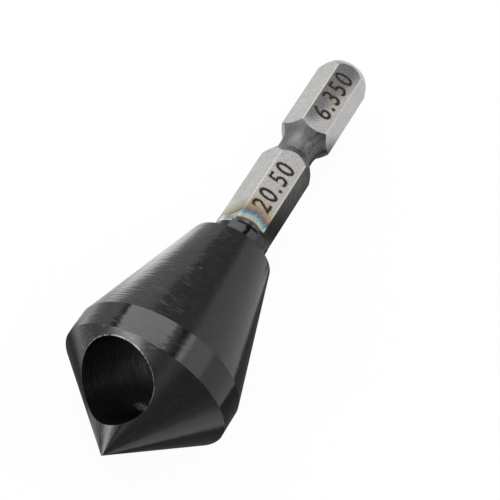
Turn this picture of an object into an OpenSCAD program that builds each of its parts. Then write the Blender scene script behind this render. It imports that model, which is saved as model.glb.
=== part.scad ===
// Cross-hole countersink bit: a black-coated cutting head turned and ground in one
// piece with a quarter-inch hexagonal quick-change shank. Millimetres, +Z up.
//
// The tool is drawn on its own axis first: the tip is at the origin, the axis runs along
// +Z to the end of the shank, and +X is the side that lies uppermost. It is then laid down
// as it comes to rest, on the rear edge of its band and on one flat of its shank.
// Directions round the axis are angles from +X towards +Y.

/* [Head] */
// Diameter of the band, the widest part of the head
head_d = 21.5; // [20.5:0.1:23]
// Included angle of the cutting cone
point_angle = 90; // [86:1:94]
// Distance from the tip to the rear edge of the band
band_end = 14; // [13.2:0.1:15.5]
// Distance from the tip to the rear face of the head
head_end = 32.7; // [31.5:0.1:34]
// Diameter of the head at its rear face
head_end_d = 10.8; // [9:0.1:12.5]
// Size of the broken edge round the rear face
rear_edge = 0.25; // [0.1:0.05:0.6]

/* [Relief grind] */
// How far the first ground cone stands off the tool's axis
cone_offset = 0.57; // [0.3:0.01:0.8]
// Direction in which the first ground cone stands off
cone_turn = 60; // [50:1:75]
// How far the second ground cone stands off the first
relief_offset = 0.45; // [0.4:0.01:0.6]
// Direction in which the second ground cone stands off
relief_turn = -42; // [-50:1:-30]
// How far back along the axis the second cone's point lies from the first one's
relief_drop = 0.38; // [0.3:0.01:0.42]

/* [Chip hole] */
// Diameter of the slanted cross hole whose rim is the cutting edge
hole_d = 10.1; // [9:0.1:10.6]
// Angle between the hole and the tool's axis
hole_tilt = 40; // [38:1:46]
// Direction of the hole's mouth round the axis
hole_turn = -35; // [-45:1:-20]
// Distance from the tip to the place where the hole crosses the tool's axis
hole_cross = 13.85; // [13:0.05:14.2]

/* [Collar] */
// Diameter of the round collar between the head and the hexagon
collar_d = 7.3; // [7:0.05:8]
// Distance from the tip to the end of the collar's full diameter
collar_end = 35.65; // [34.5:0.05:37]
// Slope of the collar's rear bevel, measured from the axis
collar_slope = 45; // [30:1:60]

/* [Shank] */
// Distance across the flats of the hexagon
hex_flats = 6.35; // [6.1:0.01:6.6]
// Diameter over the broken corners of the hexagon
hex_corners = 7.2; // [7:0.01:7.3]
// Distance from the tip to the end of the shank
tool_length = 65.6; // [62:0.1:72]
// Diameter of the flat end face
end_face_d = 5.8; // [5:0.1:6.2]
// Slope of the end bevel, measured from the axis
end_slope = 27; // [20:1:45]

/* [Retaining groove] */
// Distance from the tip to the front edge of the groove
groove_start = 47.7; // [46:0.1:48.5]
// Distance from the tip to the rear edge of the groove
groove_end = 53.5; // [52.8:0.1:56]
// Diameter of the neck at the bottom of the groove
neck_d = 4.85; // [4.2:0.05:5.4]
// Slope of the groove's front flank, measured from the axis
front_slope = 30; // [25:1:45]
// Radius of the hollow rear flank that the retaining ball pulls on
flank_radius = 3.4; // [2.5:0.1:4.2]

/* [Hidden] */
$fn = 128;

head_r = head_d / 2;
head_end_r = head_end_d / 2;
collar_r = collar_d / 2;
corner_r = hex_corners / 2;
flat_r = hex_flats / 2;
end_face_r = end_face_d / 2;
neck_r = neck_d / 2;

// Length of a ground cone for each millimetre of its radius
cone_pitch = 1 / tan(point_angle / 2);
// Place of each ground cone's point. The tip is where the two cones meet, at height zero
first_point_z = -(relief_drop + relief_offset * cone_pitch) / 2;
first_point = [cone_offset * cos(cone_turn), cone_offset * sin(cone_turn), first_point_z];
second_point = first_point
    + [relief_offset * cos(relief_turn), relief_offset * sin(relief_turn), relief_drop];
// The ground cones open out until they stand clear of the band all round
clear_of_band = 1;
cone_reach = head_r + cone_offset + relief_offset + clear_of_band;
cone_length = cone_reach * cone_pitch;

// How much wider the taper is at the front of its broken edge than at the rear face
taper = (head_r - head_end_r) / (head_end - band_end);
edge_widening = rear_edge * taper;

// The hole runs out of the metal at both ends
hole_reach = head_d + hole_d;

// The collar's bevel ends where it meets the middle of each flat
bevel_length = (collar_r - flat_r) / tan(collar_slope);
// Parts of the turned profile run into each other by this much
lap = 0.5;

// Where the end bevel starts at the corners, and where it meets the flats
end_bevel = (corner_r - end_face_r) / tan(end_slope);
flat_bevel = (flat_r - end_face_r) / tan(end_slope);

// The front flank of the groove meets the neck here
neck_start = groove_start + (corner_r - neck_r) / tan(front_slope);
// The hollow flank is an arc that is tangent to the neck and ends at the corners
flank_rise = corner_r - neck_r;
flank_run = sqrt(2 * flank_radius * flank_rise - pow(flank_rise, 2));
flank_centre = groove_end - flank_run;

// At rest the band's rear edge and the end of the lowest flat both touch the table
foot_z = tool_length - flat_bevel;
foot_run = foot_z - band_end;
lie_angle = atan2(head_r - flat_r, foot_run);
// The middle of the tool's length on the table
tip_x = first_point[0] * sin(lie_angle);
end_x = tool_length * cos(lie_angle) + end_face_r * sin(lie_angle);
rest_height = head_r * cos(lie_angle) + band_end * sin(lie_angle);

// Turned blank of the head: the cylinder of the band and the taper behind it
module turned_head() {
    rotate_extrude()
        polygon([
            [0, -clear_of_band],
            [head_r, -clear_of_band],
            [head_r, band_end],
            [head_end_r + edge_widening, head_end - rear_edge],
            [head_end_r - rear_edge, head_end],
            [0, head_end]
        ]);
}

// What one ground cone leaves, with its point at the given place
module ground_cone(point) {
    translate(point)
        rotate_extrude()
            polygon([
                [0, 0],
                [cone_reach, cone_length],
                [cone_reach, cone_length + head_end],
                [0, cone_length + head_end]
            ]);
}

// Slanted cross hole: chips leave through it, and its rim cuts
module chip_hole() {
    translate([0, 0, hole_cross])
        rotate([0, 0, hole_turn])
            rotate([0, -hole_tilt, 0])
                cylinder(h = 2 * hole_reach, d = hole_d, center = true);
}

// The head's front is ground twice, so that it falls away behind the cutting edge
module head() {
    difference() {
        intersection() {
            turned_head();
            ground_cone(first_point);
            ground_cone(second_point);
        }
        chip_hole();
    }
}

// Round collar that joins the head to the hexagon, bevelled down to the flats
module collar() {
    translate([0, 0, head_end - lap])
        cylinder(h = collar_end - head_end + lap, r = collar_r);
    translate([0, 0, collar_end])
        cylinder(h = bevel_length, r1 = collar_r, r2 = flat_r);
}

// Hexagonal bar with one flat uppermost
module hex_bar() {
    translate([0, 0, head_end - lap])
        rotate([0, 0, 30])
            cylinder(h = tool_length - head_end + lap, r = flat_r / cos(30), $fn = 6);
}

// Outline that the shank is turned to: corners, groove and end bevel
module shank_envelope() {
    rotate_extrude()
        difference() {
            polygon([
                [0, head_end - lap],
                [corner_r, head_end - lap],
                [corner_r, groove_start],
                [neck_r, neck_start],
                [neck_r, flank_centre],
                [corner_r, flank_centre],
                [corner_r, tool_length - end_bevel],
                [end_face_r, tool_length],
                [0, tool_length]
            ]);
            translate([neck_r + flank_radius, flank_centre])
                circle(r = flank_radius);
        }
}

module shank() {
    intersection() {
        hex_bar();
        shank_envelope();
    }
}

// The whole tool on its own axis
module tool() {
    union() {
        head();
        collar();
        shank();
    }
}

module countersink_bit() {
    color("#2b2c2e")
        translate([-(tip_x + end_x) / 2, 0, rest_height])
            rotate([0, 90 + lie_angle, 0])
                rotate([0, 0, 180])
                    tool();
}

countersink_bit();
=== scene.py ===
"""Looks of the countersink bit: its finishes, its size marks and a small studio."""
from math import atan2, cos, pi, radians, sin, sqrt, tan

import bmesh
import bpy
from bpy.props import (
    FloatProperty,
    FloatVectorProperty,
    IntProperty,
    PointerProperty,
    StringProperty,
)
from mathutils import Matrix, Vector


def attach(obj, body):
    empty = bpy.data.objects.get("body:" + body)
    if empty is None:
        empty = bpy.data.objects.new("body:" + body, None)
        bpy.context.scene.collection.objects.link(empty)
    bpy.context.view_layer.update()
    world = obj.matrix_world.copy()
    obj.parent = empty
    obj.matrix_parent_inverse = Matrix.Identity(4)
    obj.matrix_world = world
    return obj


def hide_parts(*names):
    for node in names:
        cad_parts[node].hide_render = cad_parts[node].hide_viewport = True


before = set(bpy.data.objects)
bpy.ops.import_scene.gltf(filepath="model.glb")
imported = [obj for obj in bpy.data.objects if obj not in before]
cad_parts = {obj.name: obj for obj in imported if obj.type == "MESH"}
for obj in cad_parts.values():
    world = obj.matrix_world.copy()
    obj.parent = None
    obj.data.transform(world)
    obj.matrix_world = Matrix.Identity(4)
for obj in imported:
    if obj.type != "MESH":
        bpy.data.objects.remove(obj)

bl_info = {
    "name": "Countersink Bit",
    "version": (1, 0, 0),
    "blender": (4, 5, 0),
    "location": "3D View > Sidebar > Countersink",
    "description": "Builds a cross-hole countersink bit with its finishes, marks and studio",
    "category": "Add Mesh",
}

NODE = "countersink_bit"
BODY = "root"
MM = 0.001

# Points nearer to each other than this are one point
WELD = 1e-7
# How far a blank runs past the end that is cut from it
CLEAR = 0.001
# How far the forms of the shank reach into the head
LAP = 0.0005
# The least turn between two faces that gets the shank's broken edge
CORNER = radians(20)
# The least turn between two faces that shows as an edge
CREASE = radians(18)
# Steps in the hollow flank of the groove
FLANK_STEPS = 12
# Millimetres behind the collar where the painted shade on the shank's right ends, and up to where
# it is full
RIGHT_SHADE_END = 10.35
RIGHT_SHADE_FULL = 1.85
# Layers of a burnt mark: the swelling of its strokes, and how far it stands off the flat
MARK_LAYERS = {"stain": (0.00011, 0.000003), "stroke": (-0.00001, 0.000008)}
MARK_THICKNESS = 0.000004
# Side of the square floor
FLOOR_SPAN = 6.0
# Share of its own glow in what the camera and reflections see of the floor
FLOOR_GLOW = 0.95
# Level of the surroundings between the panels, where 1 is white
WALL_LEVEL = 0.85
# The panels round the bit. Each stands between two directions, in degrees round from +X and
# degrees over the horizon. Then come its reach to either side of the line between them and
# the softness of its edge, as shares of its distance, and its level.
PANELS = {
    "front": ((-165, 22), (-120, 8), 0.5, 0.5, 0.2, 0.28),
    "dim": ((170, 38), (-174, 36), 0.1, 0.12, 0.08, 0.42),
    "gap": ((30, 12), (-10, 16), 0.5, 0.3, 0.08, 0.34),
    "left_edge": ((60, 2), (59, 9), 0.5, 0.2, 0.02, 0.25),
    "left": ((58, 9), (12.2, 52.0), 0.5, 0.22, 0.02, 3.3),
    "right": ((-17, 49.5), (-50, 28), 0.35, 0.35, 0.06, 1.55),
    "right_edge": ((-17, 50), (-25, 47), 0.3, 0.3, 0.02, 2.9),
    "slot": ((-16, 64), (-4, 50), 0.075, 0.07, 0.02, 0.12),
    "ahead": ((129, 2), (152, 27), 0.2, 0.2, 0.1, 3.9),
    "core": ((136, 11), (150, 25), 0.12, 0.12, 0.07, 6.6),
}


def length(name, description, default):
    """A size in metres that shows in the scene's own unit."""
    return FloatProperty(name=name, description=description, default=default, unit="LENGTH",
                         subtype="DISTANCE", precision=5, min=0.0)


def angle(name, description, degrees):
    """An angle that shows in degrees."""
    return FloatProperty(name=name, description=description, default=radians(degrees),
                         subtype="ANGLE")


def colour(name, description, default):
    """A linear colour."""
    return FloatVectorProperty(name=name, description=description, default=default,
                               subtype="COLOR", size=3, min=0.0, max=1.0)


class HeadSizes(bpy.types.PropertyGroup):
    """Sizes of the cutting head, measured from the tip along the bit's own axis."""
    band_d: length("Band diameter", "Widest part of the head", 0.0215)
    band_end: length("Band end", "Tip to the rear edge of the band", 0.014)
    head_end: length("Head end", "Tip to the rear face of the head", 0.0327)
    head_end_d: length("Rear diameter", "Diameter of the head at its rear face", 0.0108)
    rear_edge: length("Rear edge", "Broken edge round the rear face", 0.00025)
    point_angle: angle("Point angle", "Included angle of the cutting cone", 90)
    cone_offset: length("First cone offset", "Stand-off of the first ground cone", 0.00057)
    cone_turn: angle("First cone direction", "Side on which it stands off", 60)
    relief_offset: length("Relief offset", "Stand-off of the second cone", 0.00045)
    relief_turn: angle("Relief direction", "Side on which it stands off", -42)
    relief_drop: length("Relief drop", "How far back the second cone's point lies", 0.00038)
    hole_d: length("Chip hole", "Diameter of the slanted cross hole", 0.0101)
    hole_tilt: angle("Hole tilt", "Angle between the hole and the bit's axis", 40)
    hole_turn: angle("Hole direction", "Side on which the hole's mouth opens", -35)
    hole_cross: length("Hole crossing", "Tip to where the hole crosses the axis", 0.01385)
    segments: IntProperty(name="Segments", description="Steps round the turned forms",
                          default=256, min=48)


class ShankSizes(bpy.types.PropertyGroup):
    """Sizes of the collar and the hexagonal shank."""
    collar_d: length("Collar diameter", "Round collar behind the head", 0.0073)
    collar_end: length("Collar end", "Tip to the end of the collar's full diameter", 0.03565)
    collar_slope: angle("Collar slope", "Slope of the collar's rear bevel", 45)
    flats: length("Across flats", "Hexagon across its flats", 0.00635)
    corners: length("Across corners", "Hexagon over its broken corners", 0.0072)
    tool_length: length("Length", "Tip to the end of the shank", 0.0656)
    end_d: length("End face", "Diameter of the flat end face", 0.0058)
    end_slope: angle("End slope", "Slope of the end bevel", 27)
    groove_start: length("Groove start", "Tip to the front edge of the groove", 0.0477)
    groove_end: length("Groove end", "Tip to the rear edge of the groove", 0.0535)
    neck_d: length("Neck", "Diameter at the bottom of the groove", 0.00485)
    front_slope: angle("Front slope", "Slope of the groove's front flank", 30)
    flank_radius: length("Flank radius", "Radius of the hollow rear flank", 0.0034)
    edge_break: length("Edge break", "Rounding of the shank's edges", 0.00005)


class Finishes(bpy.types.PropertyGroup):
    """Colours of the coating, the bare steel and the burnt marks."""
    coating: colour("Coating", "Satin black coating of the head", (0.0032, 0.0033, 0.0035))
    bare_steel: colour("Bare steel", "Ground steel of the shank", (0.56, 0.555, 0.54))
    honed_edge: colour("Honed edge", "Bright line along the cutting rim", (0.55, 0.55, 0.54))
    burnt_mark: colour("Burnt mark", "Size marks burnt into the flat", (0.018, 0.012, 0.007))
    burnt_halo: colour("Burnt halo", "Stain round the burnt marks", (0.16, 0.11, 0.06))


class Marks(bpy.types.PropertyGroup):
    """Plain numbers on the uppermost flat of the shank."""
    front_text: StringProperty(name="Front mark", description="Plain number on the front part",
                               default="20.50")
    rear_text: StringProperty(name="Rear mark", description="Plain number on the rear part",
                              default="6.350")
    front_at: length("Front place", "Tip to the middle of the front mark", 0.0422)
    rear_at: length("Rear place", "Tip to the middle of the rear mark", 0.0593)
    height: length("Height", "Height of the digits' font", 0.0036)
    width: FloatProperty(name="Width", description="Share of the font's own width",
                         default=0.85, min=0.1)
    spacing: FloatProperty(name="Spacing", description="Share of the font's own spacing",
                           default=1.2, min=0.1)


class Studio(bpy.types.PropertyGroup):
    """Camera and light."""
    camera_at: FloatVectorProperty(
        name="Camera place", description="Where the camera stands",
        default=(-0.09641, 0.0069, 0.22192), subtype="TRANSLATION", unit="LENGTH", size=3,
    )
    camera_turn: FloatVectorProperty(
        name="Camera turn", description="How the camera is turned",
        default=(radians(19.693), radians(-15.130), radians(-58.963)), subtype="EULER", size=3,
    )
    lens: FloatProperty(name="Lens", description="Focal length in millimetres",
                        default=137.82, min=1.0)
    sensor: FloatProperty(name="Sensor", description="Width of the sensor in millimetres",
                          default=36.0, min=1.0)
    sky: FloatProperty(name="Sky", description="Level of the white surroundings",
                       default=1.0, min=0.0)


class Value:
    """A shader socket that takes part in ordinary sums."""

    def __init__(self, net, socket):
        self.net = net
        self.socket = socket

    def __add__(self, other):
        return self.net.math("ADD", self, other)

    def __radd__(self, other):
        return self.net.math("ADD", other, self)

    def __sub__(self, other):
        return self.net.math("SUBTRACT", self, other)

    def __rsub__(self, other):
        return self.net.math("SUBTRACT", other, self)

    def __mul__(self, other):
        return self.net.math("MULTIPLY", self, other)

    def __rmul__(self, other):
        return self.net.math("MULTIPLY", other, self)

    def __truediv__(self, other):
        return self.net.math("DIVIDE", self, other)

    def __rtruediv__(self, other):
        return self.net.math("DIVIDE", other, self)

    def most(self, other):
        return self.net.math("MAXIMUM", self, other)

    def size(self):
        return self.net.math("ABSOLUTE", self)

    def root(self):
        return self.net.math("SQRT", self)

    def sine(self):
        return self.net.math("SINE", self)


class Net:
    """Builds the nodes of one material or of the world."""

    def __init__(self, tree):
        self.tree = tree
        tree.nodes.clear()

    def node(self, kind, settings=None, **values):
        """One node: its settings first, then a value or a link for each named socket.

        A socket goes by its name, with underscores for spaces, or by i and its number.
        """
        made = self.tree.nodes.new(kind)
        for key, setting in (settings or {}).items():
            setattr(made, key, setting)
        for key, value in values.items():
            numbered = key[0] == "i" and key[1:].isdigit()
            self.feed(made.inputs[int(key[1:]) if numbered else key.replace("_", " ")], value)
        return made

    def feed(self, socket, value):
        """Links a value or a socket, or sets a plain number, vector or colour."""
        if isinstance(value, Value):
            value = value.socket
        if isinstance(value, bpy.types.NodeSocket):
            self.tree.links.new(value, socket)
        elif socket.type == "RGBA":
            socket.default_value = (*value[:3], 1.0)
        else:
            socket.default_value = value

    def math(self, operation, *values):
        inputs = {"i%d" % number: value for number, value in enumerate(values)}
        made = self.node("ShaderNodeMath", {"operation": operation}, **inputs)
        return Value(self, made.outputs[0])

    def vector_math(self, operation, first, second=(0, 0, 0)):
        """The node's vector and its number: the operation tells which of them holds."""
        made = self.node("ShaderNodeVectorMath", {"operation": operation}, i0=first, i1=second)
        return made.outputs[0], Value(self, made.outputs[1])

    def vector(self, x, y, z):
        """One vector from three numbers."""
        return Value(self, self.node("ShaderNodeCombineXYZ", X=x, Y=y, Z=z).outputs[0])

    def parts(self, vector):
        """The three numbers of a vector."""
        made = self.node("ShaderNodeSeparateXYZ", Vector=vector)
        return tuple(Value(self, out) for out in made.outputs)

    def object_place(self):
        """The shaded point in the coordinates of its own object."""
        return self.node("ShaderNodeTexCoord").outputs["Object"]

    def step(self, value, start, full):
        """0 on start's side and 1 on full's side, with a smooth change between the two."""
        rising = start < full
        made = self.node("ShaderNodeMapRange", {"interpolation_type": "SMOOTHSTEP"}, Value=value,
                         From_Min=min(start, full), From_Max=max(start, full),
                         To_Min=0.0 if rising else 1.0, To_Max=1.0 if rising else 0.0)
        return Value(self, made.outputs[0])

    def band(self, value, start, full, fading, end):
        """1 between full and fading, and 0 before start and after end."""
        return self.step(value, start, full) * self.step(value, end, fading)

    def noise(self, place, scale=1.0, detail=3.0, rough=0.55):
        """Soft noise about 0.5."""
        made = self.node("ShaderNodeTexNoise", Vector=place, Scale=scale, Detail=detail,
                         Roughness=rough)
        return Value(self, made.outputs["Fac"])

    def mix(self, amount, first, second):
        """A colour between two colours."""
        made = self.node("ShaderNodeMix", {"data_type": "RGBA"}, i0=amount, i6=first, i7=second)
        return Value(self, made.outputs[2])

    def ramp(self, amount, stops):
        """A colour from a row of stops, each a position and a colour."""
        made = self.node("ShaderNodeValToRGB", Fac=amount)
        steps = made.color_ramp.elements
        for position, _ in stops[2:]:
            steps.new(position)
        for step, (position, shade) in zip(steps, stops):
            step.position = position
            step.color = (*shade[:3], 1.0)
        return Value(self, made.outputs[0])

    def bump(self, height, millimetres):
        """A normal for a height of 1 that stands so many millimetres."""
        made = self.node("ShaderNodeBump", Height=height, Distance=millimetres * MM, Strength=1.0)
        return Value(self, made.outputs[0])

    def surface(self, shader, output="ShaderNodeOutputMaterial"):
        """Joins the last shader to the output."""
        self.node(output, Surface=shader.outputs[0])


def material(name):
    """A new material, and the net that builds its nodes."""
    made = bpy.data.materials.new(name)
    made.use_nodes = True
    return made, Net(made.node_tree)


def principled(net, **values):
    """Gives the material its one shader."""
    net.surface(net.node("ShaderNodeBsdfPrincipled", **values))


def rest_place(head, shank):
    """Lays the bit, drawn on its own axis with its tip at the origin, on the table."""
    head_r, flat_r, end_r = head.band_d / 2, shank.flats / 2, shank.end_d / 2
    foot = shank.tool_length - (flat_r - end_r) / tan(shank.end_slope)
    lie = atan2(head_r - flat_r, foot - head.band_end)
    tip = head.cone_offset * cos(head.cone_turn) * sin(lie)
    end = shank.tool_length * cos(lie) + end_r * sin(lie)
    height = head_r * cos(lie) + head.band_end * sin(lie)
    move = Matrix.Translation((-(tip + end) / 2, 0, height))
    return move @ Matrix.Rotation(pi / 2 + lie, 4, "Y") @ Matrix.Rotation(pi, 4, "Z")


def hole_place(head):
    """Brings a form that is drawn round +Z to where the chip hole crosses the bit's axis."""
    turn = Matrix.Rotation(head.hole_turn, 4, "Z") @ Matrix.Rotation(-head.hole_tilt, 4, "Y")
    return Matrix.Translation((0, 0, head.hole_cross)) @ turn


def tool_point(net, place):
    """The shaded point in millimetres on the bit's own axis: x up, y sideways, z from the tip."""
    move, turn, _ = place.decompose()
    made = net.node("ShaderNodeMapping", {"vector_type": "TEXTURE"}, Vector=net.object_place(),
                    Location=tuple(move), Rotation=tuple(turn.to_euler("XYZ")),
                    Scale=(MM, MM, MM))
    return Value(net, made.outputs[0])


def distance(*offsets):
    """Length of a line from its offsets along the axes."""
    total = offsets[0] * offsets[0]
    for offset in offsets[1:]:
        total = total + offset * offset
    return total.root()


def off_axis(x, y):
    """Distance from the axis, but never quite none, because it divides."""
    return distance(x, y).most(0.01)


def around(net, x, y, z, turns, pitch):
    """Texture place for marks that run round the axis: slow along them, fast across them."""
    radius = off_axis(x, y)
    return net.vector(x / radius * turns, y / radius * turns, z * pitch)


def rim_distance(net, point, head):
    """How far the point lies outside the wall of the chip hole, in millimetres."""
    along = hole_place(head).to_3x3() @ Vector((0, 0, 1))
    from_cross, _ = net.vector_math("SUBTRACT", point, (0, 0, head.hole_cross / MM))
    sideways, _ = net.vector_math("CROSS_PRODUCT", from_cross, tuple(along))
    _, reach = net.vector_math("LENGTH", sideways)
    return reach - head.hole_d / 2 / MM


def coated(name, place, head, finish, rings, depth, rough, worn, lift=0.0, calm_from=None):
    """Satin black coating over fine marks that run round the axis.

    rings is the number of marks to a millimetre, depth their depth in millimetres, and worn
    how bare they are rubbed. lift lightens the coat, and the marks grow faint behind
    calm_from.
    """
    made, net = material(name)
    point = tool_point(net, place)
    x, y, z = net.parts(point)
    fine = net.noise(around(net, x, y, z, 5.0, rings), 1.0, 2.0, 0.5)
    broad = net.noise(around(net, x, y, z, 2.0, rings / 4), 1.0, 2.0, 0.5)
    hair = net.noise(around(net, x, y, z, 11.0, rings * 2.2), 1.0, 2.0, 0.6)
    radial = net.noise(around(net, x, y, z, 12.0, 0.4), 1.0, 2.0, 0.6)
    cloud = net.noise(point, 0.55, 3.0, 0.5)
    patch = net.noise(point, 2.5, 3.0, 0.6)

    # The hole's rim is honed bare in patches, and most widely at the left of its rear end
    wear = net.step(z + y * 0.35 + (patch - 0.5) * 3.0, 4.5, 9.5) * net.step(patch, 0.36, 0.62)
    rear_left = net.step(y, -0.5, -3.0) * net.step(z, 8.0, 9.5)
    width = rear_left * 0.12 + 0.075
    beyond = rim_distance(net, point, head) - width + (patch - 0.5) * 0.12
    rim = net.step(beyond, 0.0, -0.05) * wear

    # Scratches run round the head, and along the cone near its tip
    shade = net.mix(cloud * 0.5 + fine * 0.4, [part * 0.7 for part in finish.coating],
                    [part * 1.5 + lift for part in finish.coating])
    marks = net.step(hair, 0.52, 0.75) * net.step(z, 3.0, 6.5)
    marks = marks + net.step(radial, 0.42, 0.62) * net.step(z, 6.5, 3.0) * 0.6
    scratched = net.mix(marks * worn, shade, (0.12, 0.12, 0.12))
    base = net.mix(rim * (0.8 - rear_left * 0.25), scratched, finish.honed_edge)

    # The marks are deepest on the left side
    even = net.step(y + (broad - 0.5) * 8.0, 1.0, -2.5) * 0.65 + 0.35
    if calm_from is not None:
        even = even * (net.step(z, calm_from + 0.5, calm_from - 0.3) * 0.75 + 0.25)
    height = (fine - 0.5) * even * net.step(cloud, 0.15, 0.6) + broad * 0.2
    dull = rough + (fine - 0.5) * 0.16 + (cloud - 0.5) * 0.08
    principled(net, Base_Color=base, Metallic=rim * 0.8, Roughness=dull + rim * 0.2,
               Normal=net.bump(height, depth), IOR=1.5)
    return made


def bore_finish(place, head):
    """Dark drilled wall with fine rings left by the drill, and a painted glint low in it."""
    made, net = material("bore_wall")
    point = tool_point(net, place @ hole_place(head))
    x, y, z = net.parts(point)
    wander = net.noise(point, 0.35, 2.0)
    even_rings = (z * 14.0 + wander * 12.0).sine() * 0.5 + 0.5
    loose_rings = net.noise(net.vector(wander * 1.2, 0.0, z * 4.6), 1.0, 2.0, 0.5)
    rings = even_rings * 0.35 + loose_rings * 0.65
    fine = net.noise(around(net, x, y, z, 4.0, 9.0), 1.0, 3.0, 0.6)
    wall = net.mix(rings, (0.0006, 0.0006, 0.0007), (0.006, 0.006, 0.0062))

    # A painted glint stands low in the hole. Its place is given on the bit's own axis
    up, side, along = net.parts(tool_point(net, place))
    painted_glint = net.step(distance(up + 3.0, side - 1.5, (along - 9.9) * 0.8), 1.5, 0.3)
    painted_glint = painted_glint * net.step(net.noise(net.vector(x * 2.5, y * 2.5, z * 8.0)), 0.44, 0.54)
    principled(net, Base_Color=net.mix(painted_glint, wall, (0.95, 0.95, 0.95)),
               Roughness=0.24 + (fine - 0.5) * 0.15,
               Normal=net.bump(rings * 0.8 + fine * 0.2, 0.12), IOR=1.5)
    return made


def behind_collar(z, shank):
    """Millimetres from the end of the collar's full diameter, towards the shank's end."""
    return z - shank.collar_end / MM


def tinted(net, where, tints):
    """A row of tints, each at its own place in millimetres."""
    first, last = tints[0][0], tints[-1][0]
    stops = [((place - first) / (last - first), tint) for place, tint in tints]
    return net.ramp((where - first) / (last - first), stops)


def heat_colours(net, behind, finish):
    """Colours that welding heat leaves on steel, by the millimetres behind the collar."""
    tints = [
        (0.35, (0.16, 0.15, 0.15)),
        (0.47, (0.26, 0.17, 0.15)),
        (0.57, (0.42, 0.25, 0.17)),
        (0.69, (0.60, 0.48, 0.26)),
        (0.81, (0.65, 0.64, 0.43)),
        (1.01, (0.36, 0.60, 0.48)),
        (1.23, (0.20, 0.50, 0.55)),
        (1.45, (0.14, 0.26, 0.40)),
        (1.65, (0.12, 0.14, 0.25)),
        (1.85, (0.17, 0.12, 0.17)),
        (2.15, (0.25, 0.17, 0.13)),
        (2.65, (0.41, 0.31, 0.19)),
        (3.35, (0.54, 0.47, 0.35)),
        (4.75, finish.bare_steel),
    ]
    return tinted(net, behind, tints)


def left_heat(net, off_line, finish):
    """Heat colours of the left flat, by the millimetres behind the dark line across it."""
    tints = [
        (-0.8, (0.38, 0.41, 0.38)),
        (-0.404, (0.43, 0.46, 0.43)),
        (-0.224, (0.13, 0.14, 0.09)),
        (0.064, (0.125, 0.135, 0.085)),
        (0.316, (0.24, 0.215, 0.155)),
        (0.712, (0.31, 0.285, 0.18)),
        (1.18, (0.37, 0.37, 0.26)),
        (1.792, (0.41, 0.42, 0.37)),
        (2.8, finish.bare_steel),
    ]
    return tinted(net, off_line, tints)


def flat_steel(place, shank, finish):
    """Ground flats: fine scratches and stains, with heat colours next to the head."""
    made, net = material("flat_steel")
    point = tool_point(net, place)
    x, y, z = net.parts(point)
    flat_r = shank.flats / 2 / MM
    above_flat = x - flat_r
    behind = behind_collar(z, shank)
    behind_groove = z - shank.groove_end / MM
    grain = net.noise(net.vector(x * 9.0, y * 9.0, z * 1.6), 1.0, 4.0, 0.65)
    cloud = net.noise(point, 0.8, 3.0, 0.55)
    speck = net.noise(point, 5.0, 3.0, 0.65)
    scratch = net.noise(net.vector(x + (y + z) * 1.1, (z - y) * 7.0, x * 0.5), 1.0, 3.0, 0.6)

    # How far the edges of the uppermost flat lie to either side
    edge = x * 0.55
    left_flat = net.step(y + edge, 0.2, -0.4)
    past_right_edge = y - edge

    # The bands of colour curve towards the head on the right of the uppermost flat
    right = y.most(0.0)
    heat_at = behind + (distance(x, y) - flat_r) + right * right * 0.13
    heat_at = heat_at + left_flat * 2.0 + (cloud - 0.5) * 0.3 + (grain - 0.5) * 0.12
    heat = heat_colours(net, heat_at, finish)

    # Stains, rubbed spots and slanting scratches
    stain = net.step(cloud + (grain - 0.5) * 0.3, 0.62, 0.40)
    clean = net.mix(stain * 0.3, heat, net.mix(0.5, heat, (0.30, 0.28, 0.25)))
    scuffed = net.mix(net.step(speck, 0.46, 0.64) * 0.45, clean, (0.30, 0.29, 0.275))
    lined = net.mix(net.step(scratch, 0.52, 0.7) * 0.45, scuffed, (0.74, 0.74, 0.735))

    # Dark film on the left of the uppermost flat behind the groove
    on_top = net.step(above_flat, -0.175, -0.075) * net.step(behind_groove, -0.6, 1.4)
    film = y * 2.2 - behind_groove * 0.42 + (speck - 0.5) * 6.0
    tarnish = net.mix(net.step(speck, 0.36, 0.62), (0.05, 0.05, 0.058), (0.20, 0.20, 0.215))
    filmed = net.mix(on_top * net.step(film, 0.8, -3.2) * 0.8, lined, tarnish)

    # A dark line runs slantwise across the left flat next to the head
    off_line = behind - 1.4 - above_flat * 0.415 + (cloud - 0.5) * 0.25
    toned = net.mix(left_flat * net.step(off_line, 2.8, 1.6) * 0.9, filmed,
                    left_heat(net, off_line, finish))

    # Dust on the right flat behind the groove, and painted shade on it between the groove and the
    # head
    dust = net.step(past_right_edge, 0.0, 0.3) * net.step(behind_groove, -5.5, 0.5)
    dusty = net.mix(dust * 0.3, toned, (0.27, 0.27, 0.265))
    near = net.step(behind, RIGHT_SHADE_END, 0.35)
    spill = net.step(behind, 3.85, 0.85) * 0.25
    painted_right_shade = net.step(past_right_edge + spill, 0.1, 0.4)
    painted_right_shade = painted_right_shade * net.step(behind + (cloud - 0.5) * 2.0, RIGHT_SHADE_END, RIGHT_SHADE_FULL)
    painted_right_shade = painted_right_shade * (near * 0.08 + 0.9)
    # Painted shade: dark tones where the right flat mirrors the bit's shade, darkest by the collar
    burnt = net.mix(net.step(cloud + (speck - 0.5) * 0.8, 0.35, 0.65),
                    (0.028, 0.030, 0.036), (0.068, 0.059, 0.048))
    burnt = net.mix(near * 0.5, burnt, (0.003, 0.003, 0.003))
    principled(net, Base_Color=net.mix(painted_right_shade, dusty, burnt), Metallic=1.0,
               Roughness=0.14 + (grain - 0.5) * 0.14 + stain * 0.06,
               Normal=net.bump(grain * 0.6 + speck * 0.4, 0.005))
    return made


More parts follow.
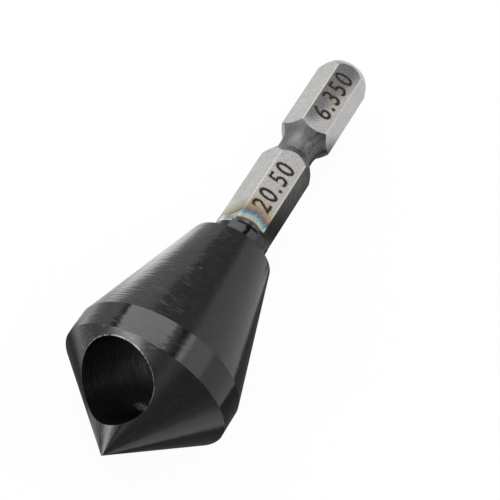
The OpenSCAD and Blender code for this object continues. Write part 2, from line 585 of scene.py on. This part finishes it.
def turned_steel(place, shank, finish):
    """Turned corners, groove and end bevel: the groove is dark and streaked."""
    made, net = material("turned_steel")
    point = tool_point(net, place)
    x, y, z = net.parts(point)
    start, end, tail = shank.groove_start / MM, shank.groove_end / MM, shank.tool_length / MM
    behind = behind_collar(z, shank)
    streak = net.noise(around(net, x, y, z, 5.0, 0.7), 1.0, 3.0, 0.6)
    speck = net.noise(point, 4.0, 3.0, 0.65)
    groove = net.band(z, start - 0.15, start + 0.05, end - 0.05, end + 0.15)

    # Corners: heat colours as on the flats, dull on the left and in painted shade on the right
    dull = net.step(y, 0.5, -0.5) * net.step(z, tail - 0.4, tail - 0.9)
    edge = net.mix(dull * 0.5, heat_colours(net, behind + 0.43, finish), (0.12, 0.12, 0.12))
    painted_right_shade = net.step(y, 2.4, 3.0) * net.step(behind, RIGHT_SHADE_END, RIGHT_SHADE_FULL)
    edge = net.mix(painted_right_shade * 0.95, edge, (0.04, 0.037, 0.034))

    # Groove: dark and streaked; painted light makes it lighter on the left and bright on its lower
    # half
    dark = net.mix(net.step(streak * 0.75 + speck * 0.25, 0.3, 0.7),
                   (0.065, 0.065, 0.068), (0.18, 0.18, 0.185))
    light = net.mix(net.step(y, 0.3, -1.4) * 0.5, dark, (0.22, 0.22, 0.225))
    light = net.mix(net.step(x / off_axis(x, y), 0.2, 0.05) * 0.8, light, (0.5, 0.5, 0.5))
    principled(net, Base_Color=net.mix(groove, edge, light), Metallic=1.0,
               Roughness=0.34 + (speck - 0.5) * 0.1 + dull * 0.15 + groove * 0.08,
               Normal=net.bump(streak * 0.7 + speck * 0.3, 0.006))
    return made


def collar_finish(place, shank):
    """Black collar, with a bare lip where the coating stops on the left side."""
    made, net = material("coated_collar")
    point = tool_point(net, place)
    x, y, z = net.parts(point)
    radius = off_axis(x, y)
    cloud = net.noise(point, 1.2, 3.0, 0.55)
    speck = net.noise(point, 6.0, 3.0, 0.65)
    left = (0.0 - y) / radius + (cloud - 0.5) * 0.3
    ragged = behind_collar(z, shank) + (speck - 0.5) * 0.18
    lip = net.step(left, 0.52, 0.66) * net.step(ragged, -0.93, -0.83)
    tempered = net.step(ragged, -0.45, -0.35)

    # A black line in front of the tempered steel, with a smear across the collar
    line = net.band(ragged, -0.83, -0.73, -0.45, -0.35) * net.band(left, -0.45, -0.3, 0.4, 0.5)
    smear = net.band(left, -0.09, -0.04, 0.05, 0.11) * net.step(ragged, -0.65, -0.75)
    black = line.most(smear)
    burnt = net.mix(net.step(cloud, 0.45, 0.62), (0.006, 0.0065, 0.0075), (0.016, 0.013, 0.012))

    # The lip: a bright edge, greyer steel behind it, and dark again far round to the left
    bare = net.mix(net.step(ragged, -0.72, -0.62), (0.56, 0.60, 0.58), (0.37, 0.38, 0.355))
    bare = net.mix(net.step(ragged, -0.03, 0.05), bare, (0.41, 0.43, 0.41))
    far = net.step(x / radius, 0.4, 0.2) * net.step(ragged, -0.75, -0.65)
    bare = net.mix(far, bare, (0.10, 0.105, 0.08))

    # The tempered steel: blue-grey, darker at both ends, and brown where it meets the flats
    blued = net.mix(net.step(left, -0.3, -0.45), (0.05, 0.064, 0.066), (0.02, 0.022, 0.025))
    blued = net.mix(net.step(left, 0.12, 0.4), blued, (0.028, 0.026, 0.027))
    blued = net.mix(net.step(ragged, -0.03, 0.3), blued, (0.13, 0.09, 0.082))

    metal = lip.most(tempered)
    base = net.mix(metal, burnt, net.mix(lip, blued, bare))
    sheen = net.step(left, -0.6, -0.8) * 0.6 + net.step(left, -0.25, 0.0) * 0.15 + 0.1
    principled(net, Base_Color=net.mix(black, base, (0.008, 0.008, 0.009)),
               Metallic=metal.most(black).most(sheen),
               Roughness=0.18 + (speck - 0.5) * 0.16, IOR=1.5,
               Normal=net.bump(speck * 0.5 + cloud * 0.5, 0.02))
    return made


def stroke_finish(finish):
    """Burnt strokes of the size marks."""
    made, net = material("burnt_mark")
    speck = net.noise(net.object_place(), 5000.0, 2.0, 0.6)
    base = net.mix(speck, [part * 0.6 for part in finish.burnt_mark],
                   [part * 1.5 for part in finish.burnt_mark])
    principled(net, Base_Color=base, Roughness=0.55 + speck * 0.2, Specular_IOR_Level=0.15)
    return made


def stain_finish(finish):
    """Thin brown stain that fades out round the burnt strokes."""
    made, net = material("burnt_halo")
    cloud = net.noise(net.object_place(), 1600.0, 3.0, 0.6)
    principled(net, Base_Color=finish.burnt_halo, Metallic=0.6, Roughness=0.4,
               Alpha=net.step(cloud, 0.3, 0.75) * 0.7)
    return made


def mesh_from(bm, name, finish):
    """Closes the bmesh into a mesh whose faces point outwards and have one finish."""
    bmesh.ops.remove_doubles(bm, verts=bm.verts, dist=WELD)
    bmesh.ops.recalc_face_normals(bm, faces=bm.faces)
    mesh = bpy.data.meshes.new(name)
    bm.to_mesh(mesh)
    bm.free()
    mesh.materials.append(finish)
    return mesh


def spun(outline, steps, name, finish):
    """A turned form: the outline of (radius, height) points spun about the axis."""
    bm = bmesh.new()
    points = [bm.verts.new((radius, 0, height)) for radius, height in outline]
    lines = [bm.edges.new(pair) for pair in zip(points, points[1:])]
    bmesh.ops.spin(bm, geom=points + lines, cent=(0, 0, 0), axis=(0, 0, 1), angle=2 * pi,
                   steps=steps, use_merge=True)
    return mesh_from(bm, name, finish)


def place_object(name, data):
    """An object in the scene, at the origin."""
    made = bpy.data.objects.new(name, data)
    bpy.context.scene.collection.objects.link(made)
    return made


def finished_mesh(obj):
    """The object's mesh with its modifiers applied. The object itself is removed."""
    seen = obj.evaluated_get(bpy.context.evaluated_depsgraph_get())
    mesh = bpy.data.meshes.new_from_object(seen)
    bpy.data.objects.remove(obj)
    return mesh


def combine(base, *cuts):
    """Cuts, keeps or joins forms, each cut as (operation, mesh)."""
    body = place_object("body", base)
    tools = []
    for number, (operation, mesh) in enumerate(cuts):
        tool = place_object("tool_%d" % number, mesh)
        cut = body.modifiers.new(operation.lower(), "BOOLEAN")
        cut.operation = operation
        cut.solver = "EXACT"
        cut.material_mode = "TRANSFER"
        cut.object = tool
        tools.append(tool)
    mesh = finished_mesh(body)
    for tool in tools:
        bpy.data.objects.remove(tool)
    return mesh


def stand_off(reach, direction):
    """A move square to the axis."""
    return Vector((reach * cos(direction), reach * sin(direction)))


def ground_cone(head, offset, drop, name, finish):
    """What one ground cone leaves, with its point off the axis and so far from the tip."""
    reach = head.band_d
    outline = [(0, 0), (reach, reach / tan(head.point_angle / 2)), (reach, 3 * reach),
               (0, 3 * reach)]
    mesh = spun(outline, head.segments, name, finish)
    mesh.transform(Matrix.Translation((*offset, drop)))
    return mesh


def head_mesh(head, finishes):
    """Turned blank, ground twice and cross-drilled."""
    steps = head.segments
    head_r, rear_r = head.band_d / 2, head.head_end_d / 2
    taper = (head_r - rear_r) / (head.head_end - head.band_end)
    band = spun([(0, -CLEAR), (head_r, -CLEAR), (head_r, head.band_end), (0, head.band_end)],
                steps, "band", finishes["band"])
    cone = spun([(0, head.band_end), (head_r, head.band_end),
                 (rear_r + head.rear_edge * taper, head.head_end - head.rear_edge),
                 (rear_r - head.rear_edge, head.head_end), (0, head.head_end)],
                steps, "taper", finishes["taper"])
    first = stand_off(head.cone_offset, head.cone_turn)
    second = first + stand_off(head.relief_offset, head.relief_turn)
    rise = head.relief_offset / tan(head.point_angle / 2)
    drop = -(head.relief_drop + rise) / 2
    land = ground_cone(head, first, drop, "land", finishes["land"])
    relief = ground_cone(head, second, drop + head.relief_drop, "relief", finishes["relief"])
    hole = bmesh.new()
    bmesh.ops.create_cone(hole, cap_ends=True, segments=steps, radius1=head.hole_d / 2,
                          radius2=head.hole_d / 2, depth=4 * head.band_d,
                          matrix=hole_place(head))
    return combine(band, ("UNION", cone), ("INTERSECT", land), ("INTERSECT", relief),
                   ("DIFFERENCE", mesh_from(hole, "hole", finishes["bore"])))


def arc(centre, radius, start, stop, count):
    """Points on an arc, from one angle to another."""
    angles = [start + (stop - start) * number / count for number in range(count + 1)]
    return [(centre[0] + radius * cos(turn), centre[1] + radius * sin(turn)) for turn in angles]


def hex_bar(flat_r, start, end, finish):
    """Hexagonal bar with one flat uppermost."""
    bar = bmesh.new()
    bmesh.ops.create_circle(bar, cap_ends=True, segments=6, radius=flat_r / cos(pi / 6),
                            matrix=Matrix.Translation((0, 0, start)))
    pulled = bmesh.ops.extrude_face_region(bar, geom=bar.faces[:])
    tops = [part for part in pulled["geom"] if isinstance(part, bmesh.types.BMVert)]
    bmesh.ops.translate(bar, vec=(0, 0, end - start), verts=tops)
    return mesh_from(bar, "bar", finish)


def shank_mesh(head, shank, finishes):
    """Hexagonal bar turned to its corners, groove and end bevel, with broken edges."""
    steps = head.segments // 2
    flat_r, corner_r, neck_r = shank.flats / 2, shank.corners / 2, shank.neck_d / 2
    collar_r, end_r, root = shank.collar_d / 2, shank.end_d / 2, head.head_end - LAP
    rise = corner_r - neck_r
    centre = shank.groove_end - sqrt(2 * shank.flank_radius * rise - rise * rise)
    sweep = atan2(shank.groove_end - centre, shank.flank_radius - rise)
    flank = arc((neck_r + shank.flank_radius, centre), shank.flank_radius, pi, pi - sweep,
                FLANK_STEPS)
    outline = [(0, root), (corner_r, root), (corner_r, shank.groove_start),
               (neck_r, shank.groove_start + rise / tan(shank.front_slope)), *flank,
               (corner_r, shank.tool_length - (corner_r - end_r) / tan(shank.end_slope)),
               (end_r, shank.tool_length), (0, shank.tool_length)]
    bar = hex_bar(flat_r, root, shank.tool_length + CLEAR, finishes["flats"])
    shaped = combine(bar, ("INTERSECT", spun(outline, steps, "envelope", finishes["turned"])))
    bevel_end = shank.collar_end + (collar_r - flat_r) / tan(shank.collar_slope)
    collar = spun([(0, root), (collar_r, root), (collar_r, shank.collar_end),
                   (flat_r, bevel_end), (0, bevel_end)],
                  steps, "collar", finishes["collar"])
    whole = place_object("shank", combine(shaped, ("UNION", collar)))
    soft = whole.modifiers.new("broken_edges", "BEVEL")
    soft.width = shank.edge_break
    soft.segments = 2
    soft.limit_method = "ANGLE"
    soft.angle_limit = CORNER
    return finished_mesh(whole)


def sharpen(mesh):
    """Smooth faces, with a crease where the form turns or one finish meets another."""
    bm = bmesh.new()
    bm.from_mesh(mesh)
    bmesh.ops.dissolve_degenerate(bm, dist=WELD, edges=bm.edges)
    for face in bm.faces:
        face.smooth = True
    for edge in bm.edges:
        faces = edge.link_faces
        if len(faces) == 2:
            edge.smooth = (edge.calc_face_angle(0.0) < CREASE
                           and faces[0].material_index == faces[1].material_index)
    bm.to_mesh(mesh)
    bm.free()


def even_shading(mesh):
    """Lets each large face keep its own normal, so that its broken edges alone look round."""
    whole = place_object("shaded", mesh)
    even = whole.modifiers.new("even_shading", "WEIGHTED_NORMAL")
    even.mode = "FACE_AREA"
    even.weight = 100
    even.keep_sharp = True
    return finished_mesh(whole)


class COUNTERSINK_OT_bit(bpy.types.Operator):
    """Build the one-piece bit: turned and ground head, collar and hexagonal shank"""
    bl_idname = "countersink.bit"
    bl_label = "Bit"

    def execute(self, context):
        scene = context.scene
        head, shank, finish = scene.bit_head, scene.bit_shank, scene.bit_finishes
        place = rest_place(head, shank)
        finishes = {
            "taper": coated("coated_taper", place, head, finish,
                            rings=3.4, depth=0.07, rough=0.16, worn=0.14),
            "band": coated("coated_band", place, head, finish,
                           rings=3.2, depth=0.075, rough=0.11, worn=0.05,
                           calm_from=head.band_end / MM - 1.4),
            "land": coated("coated_land", place, head, finish,
                           rings=3.2, depth=0.035, rough=0.20, worn=0.6, lift=0.006),
            "relief": coated("coated_relief", place, head, finish,
                             rings=3.2, depth=0.035, rough=0.15, worn=0.08),
            "bore": bore_finish(place, head),
            "collar": collar_finish(place, shank),
            "flats": flat_steel(place, shank, finish),
            "turned": turned_steel(place, shank, finish),
        }
        mesh = combine(head_mesh(head, finishes), ("UNION", shank_mesh(head, shank, finishes)))
        sharpen(mesh)
        mesh = even_shading(mesh)
        mesh.transform(place)
        mesh.name = "cutter"
        bit = place_object("cutter", mesh)
        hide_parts(NODE)
        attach(bit, BODY)
        return {"FINISHED"}


def mark_mesh(marks, text, swell):
    """A line of text as a thin flat mesh, centred on its own place."""
    curve = bpy.data.curves.new("text", "FONT")
    curve.body = text
    curve.size = marks.height
    curve.offset = swell
    curve.extrude = MARK_THICKNESS / 2
    curve.space_character = marks.spacing
    curve.align_x = "CENTER"
    curve.align_y = "CENTER"
    curve.resolution_u = 6
    mesh = finished_mesh(place_object("text", curve))
    mesh.transform(Matrix.Diagonal((marks.width, 1, 1, 1)))
    return mesh


class COUNTERSINK_OT_marks(bpy.types.Operator):
    """Burn plain numbers into the uppermost flat of the shank"""
    bl_idname = "countersink.marks"
    bl_label = "Size marks"

    def execute(self, context):
        scene = context.scene
        shank, marks = scene.bit_shank, scene.bit_marks
        place = rest_place(scene.bit_head, shank)
        finishes = {"stain": stain_finish(scene.bit_finishes),
                    "stroke": stroke_finish(scene.bit_finishes)}
        # Text runs along the shank, and its face is towards +X, which is up on the bit's axis
        along = Matrix(((0, 0, 1, 0), (0, -1, 0, 0), (1, 0, 0, 0), (0, 0, 0, 1)))
        for name, text, station in (("front_mark", marks.front_text, marks.front_at),
                                    ("rear_mark", marks.rear_text, marks.rear_at)):
            for layer, (swell, lift) in MARK_LAYERS.items():
                mesh = mark_mesh(marks, text, swell)
                mesh.materials.clear()
                mesh.materials.append(finishes[layer])
                spot = Matrix.Translation((shank.flats / 2 + lift, 0, station))
                mesh.transform(place @ spot @ along)
                mark = place_object("%s_%s" % (name, layer), mesh)
                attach(mark, BODY)
        return {"FINISHED"}


def floor_tone(net):
    """How bright the floor looks in the metal: lit on the left, in the bit's shade on the right."""
    x, y, _ = net.parts(net.object_place())
    x, y = x / MM, y / MM

    # The bit's shade to the right of its head, of its shank, and under its tip
    head_side = net.step(x, 8.5, 5.5) * net.step(y + x * 1.13, -64.0, -54.0)
    shank_side = net.step(x, 29.0, 25.0) * net.step(y, -18.0, -15.5)
    shank_side = shank_side * net.step(x, 10.2, 11.5).most(net.step(y, -14.0, -11.0))
    right_side = head_side.most(shank_side) * net.step(y, 3.0, -1.0)
    under_tip = net.step(distance(x + 21.5, y - 10.0), 13.0, 6.0)
    under_tip = under_tip * net.step(distance(x + 12.5, y - 11.5), 3.0, 5.0)
    shade = right_side.most(under_tip)

    # Pools of light close by on the left, and the fall towards the front and the far left
    pool = net.step(distance(x - 3.5, y - 17.5), 11.5, 4.0)
    strip = net.step(distance((x + 20.0) / 2.6, y - 25.0), 6.5, 2.0)
    lit = 0.92 + pool * 1.25 + strip * 0.6
    lit = lit - net.step(0.0 - x - y * 0.6, 60.0, 170.0) * 0.56
    lit = lit - net.band(y, 28.0, 38.0, 70.0, 100.0) * 0.22
    return lit * (1.0 - shade * 0.93)


def floor_finish():
    """Pale floor: it glows for the camera and in reflections, and is plain card otherwise."""
    made, net = material("pale_floor")
    path = net.node("ShaderNodeLightPath").outputs
    camera = Value(net, path["Is Camera Ray"])
    mirrored = Value(net, path["Is Glossy Ray"]) + Value(net, path["Is Transmission Ray"])
    card = net.node("ShaderNodeBsdfDiffuse", Color=(0.86, 0.86, 0.86))
    level = camera + (1.0 - camera) * floor_tone(net)
    glow = net.node("ShaderNodeEmission", Color=level, Strength=1.0)
    net.surface(net.node("ShaderNodeMixShader", Fac=camera.most(mirrored) * FLOOR_GLOW,
                         i1=card.outputs[0], i2=glow.outputs[0]))
    return made


def floor_sheet():
    """The flat floor, as a part of the stage."""
    bm = bmesh.new()
    bmesh.ops.create_grid(bm, x_segments=1, y_segments=1, size=FLOOR_SPAN / 2)
    mesh = bpy.data.meshes.new("floor")
    bm.to_mesh(mesh)
    bm.free()
    mesh.materials.append(floor_finish())
    place_object("floor", mesh)


def toward(azimuth, elevation):
    """The direction that lies at an azimuth from +X and at a height over the horizon."""
    flat = cos(radians(elevation))
    return Vector((flat * cos(radians(azimuth)), flat * sin(radians(azimuth)),
                   sin(radians(elevation))))


def panel(net, way, first, last, below, above, edge):
    """Where a flat panel stands: between two directions, and so far to either side of them."""
    middle = (first + last).normalized()
    along = (last - first).normalized()
    ahead, u, v = (net.vector_math("DOT_PRODUCT", way, tuple(axis))[1]
                   for axis in (middle, along, middle.cross(along)))
    depth = ahead.most(0.001)
    reach = tan(first.angle(last) / 2)
    inside = net.step((u / depth).size(), reach + edge, reach - edge)
    inside = inside * net.band(v / depth, -below - edge, -below + edge,
                               above - edge, above + edge)
    return inside * net.step(ahead, 0.0, 0.05)


def sky_finish(studio):
    """White surroundings with soft panels on the left, on the right and in front."""
    world = bpy.data.worlds.new("studio")
    bpy.context.scene.world = world
    world.use_nodes = True
    net = Net(world.node_tree)
    way = net.node("ShaderNodeTexCoord").outputs["Generated"]
    level = WALL_LEVEL
    for first, last, below, above, edge, shade in PANELS.values():
        share = panel(net, way, toward(*first), toward(*last), below, above, edge)
        level = level + (shade - level) * share
    camera = net.node("ShaderNodeLightPath").outputs["Is Camera Ray"]
    near = net.node("ShaderNodeBackground", Color=level * studio.sky, Strength=1.0)
    far = net.node("ShaderNodeBackground", Color=(1.0, 1.0, 1.0), Strength=1.0)
    net.surface(net.node("ShaderNodeMixShader", Fac=camera, i1=near.outputs[0],
                         i2=far.outputs[0]), "ShaderNodeOutputWorld")


class COUNTERSINK_OT_studio(bpy.types.Operator):
    """Set up the camera, the pale floor and the soft light"""
    bl_idname = "countersink.studio"
    bl_label = "Studio"

    def execute(self, context):
        scene = context.scene
        studio = scene.bit_studio
        lens = bpy.data.cameras.new("camera")
        lens.lens = studio.lens
        lens.sensor_width = studio.sensor
        camera = place_object("camera", lens)
        camera.location = studio.camera_at
        camera.rotation_euler = studio.camera_turn
        scene.camera = camera
        floor_sheet()
        sky_finish(studio)
        scene.view_settings.view_transform = "Standard"
        return {"FINISHED"}


# Each group of sizes with the operator that builds from it, as the sidebar lists them
GROUPS = {
    "bit_head": (HeadSizes, COUNTERSINK_OT_bit),
    "bit_shank": (ShankSizes, None),
    "bit_finishes": (Finishes, None),
    "bit_marks": (Marks, COUNTERSINK_OT_marks),
    "bit_studio": (Studio, COUNTERSINK_OT_studio),
}


class COUNTERSINK_PT_panel(bpy.types.Panel):
    """Lists the bit's pieces and their sizes"""
    bl_idname = "COUNTERSINK_PT_panel"
    bl_label = "Countersink Bit"
    bl_space_type = "VIEW_3D"
    bl_region_type = "UI"
    bl_category = "Countersink"

    def draw(self, context):
        for name, (group, operator) in GROUPS.items():
            box = self.layout.box()
            for size in group.__annotations__:
                box.prop(getattr(context.scene, name), size)
            if operator:
                box.operator(operator.bl_idname)


def register():
    for name, (group, operator) in GROUPS.items():
        bpy.utils.register_class(group)
        setattr(bpy.types.Scene, name, PointerProperty(type=group))
        if operator:
            bpy.utils.register_class(operator)
    bpy.utils.register_class(COUNTERSINK_PT_panel)


def unregister():
    bpy.utils.unregister_class(COUNTERSINK_PT_panel)
    for name, (group, operator) in reversed(GROUPS.items()):
        if operator:
            bpy.utils.unregister_class(operator)
        delattr(bpy.types.Scene, name)
        bpy.utils.unregister_class(group)


def corners(box):
    """A box as plain lists of numbers."""
    return [[float(number) for number in corner] for corner in box]


def main():
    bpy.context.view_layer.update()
    register()
    bpy.ops.countersink.bit()
    bpy.ops.countersink.marks()
    bpy.ops.countersink.studio()


if __name__ == "__main__":
    main()
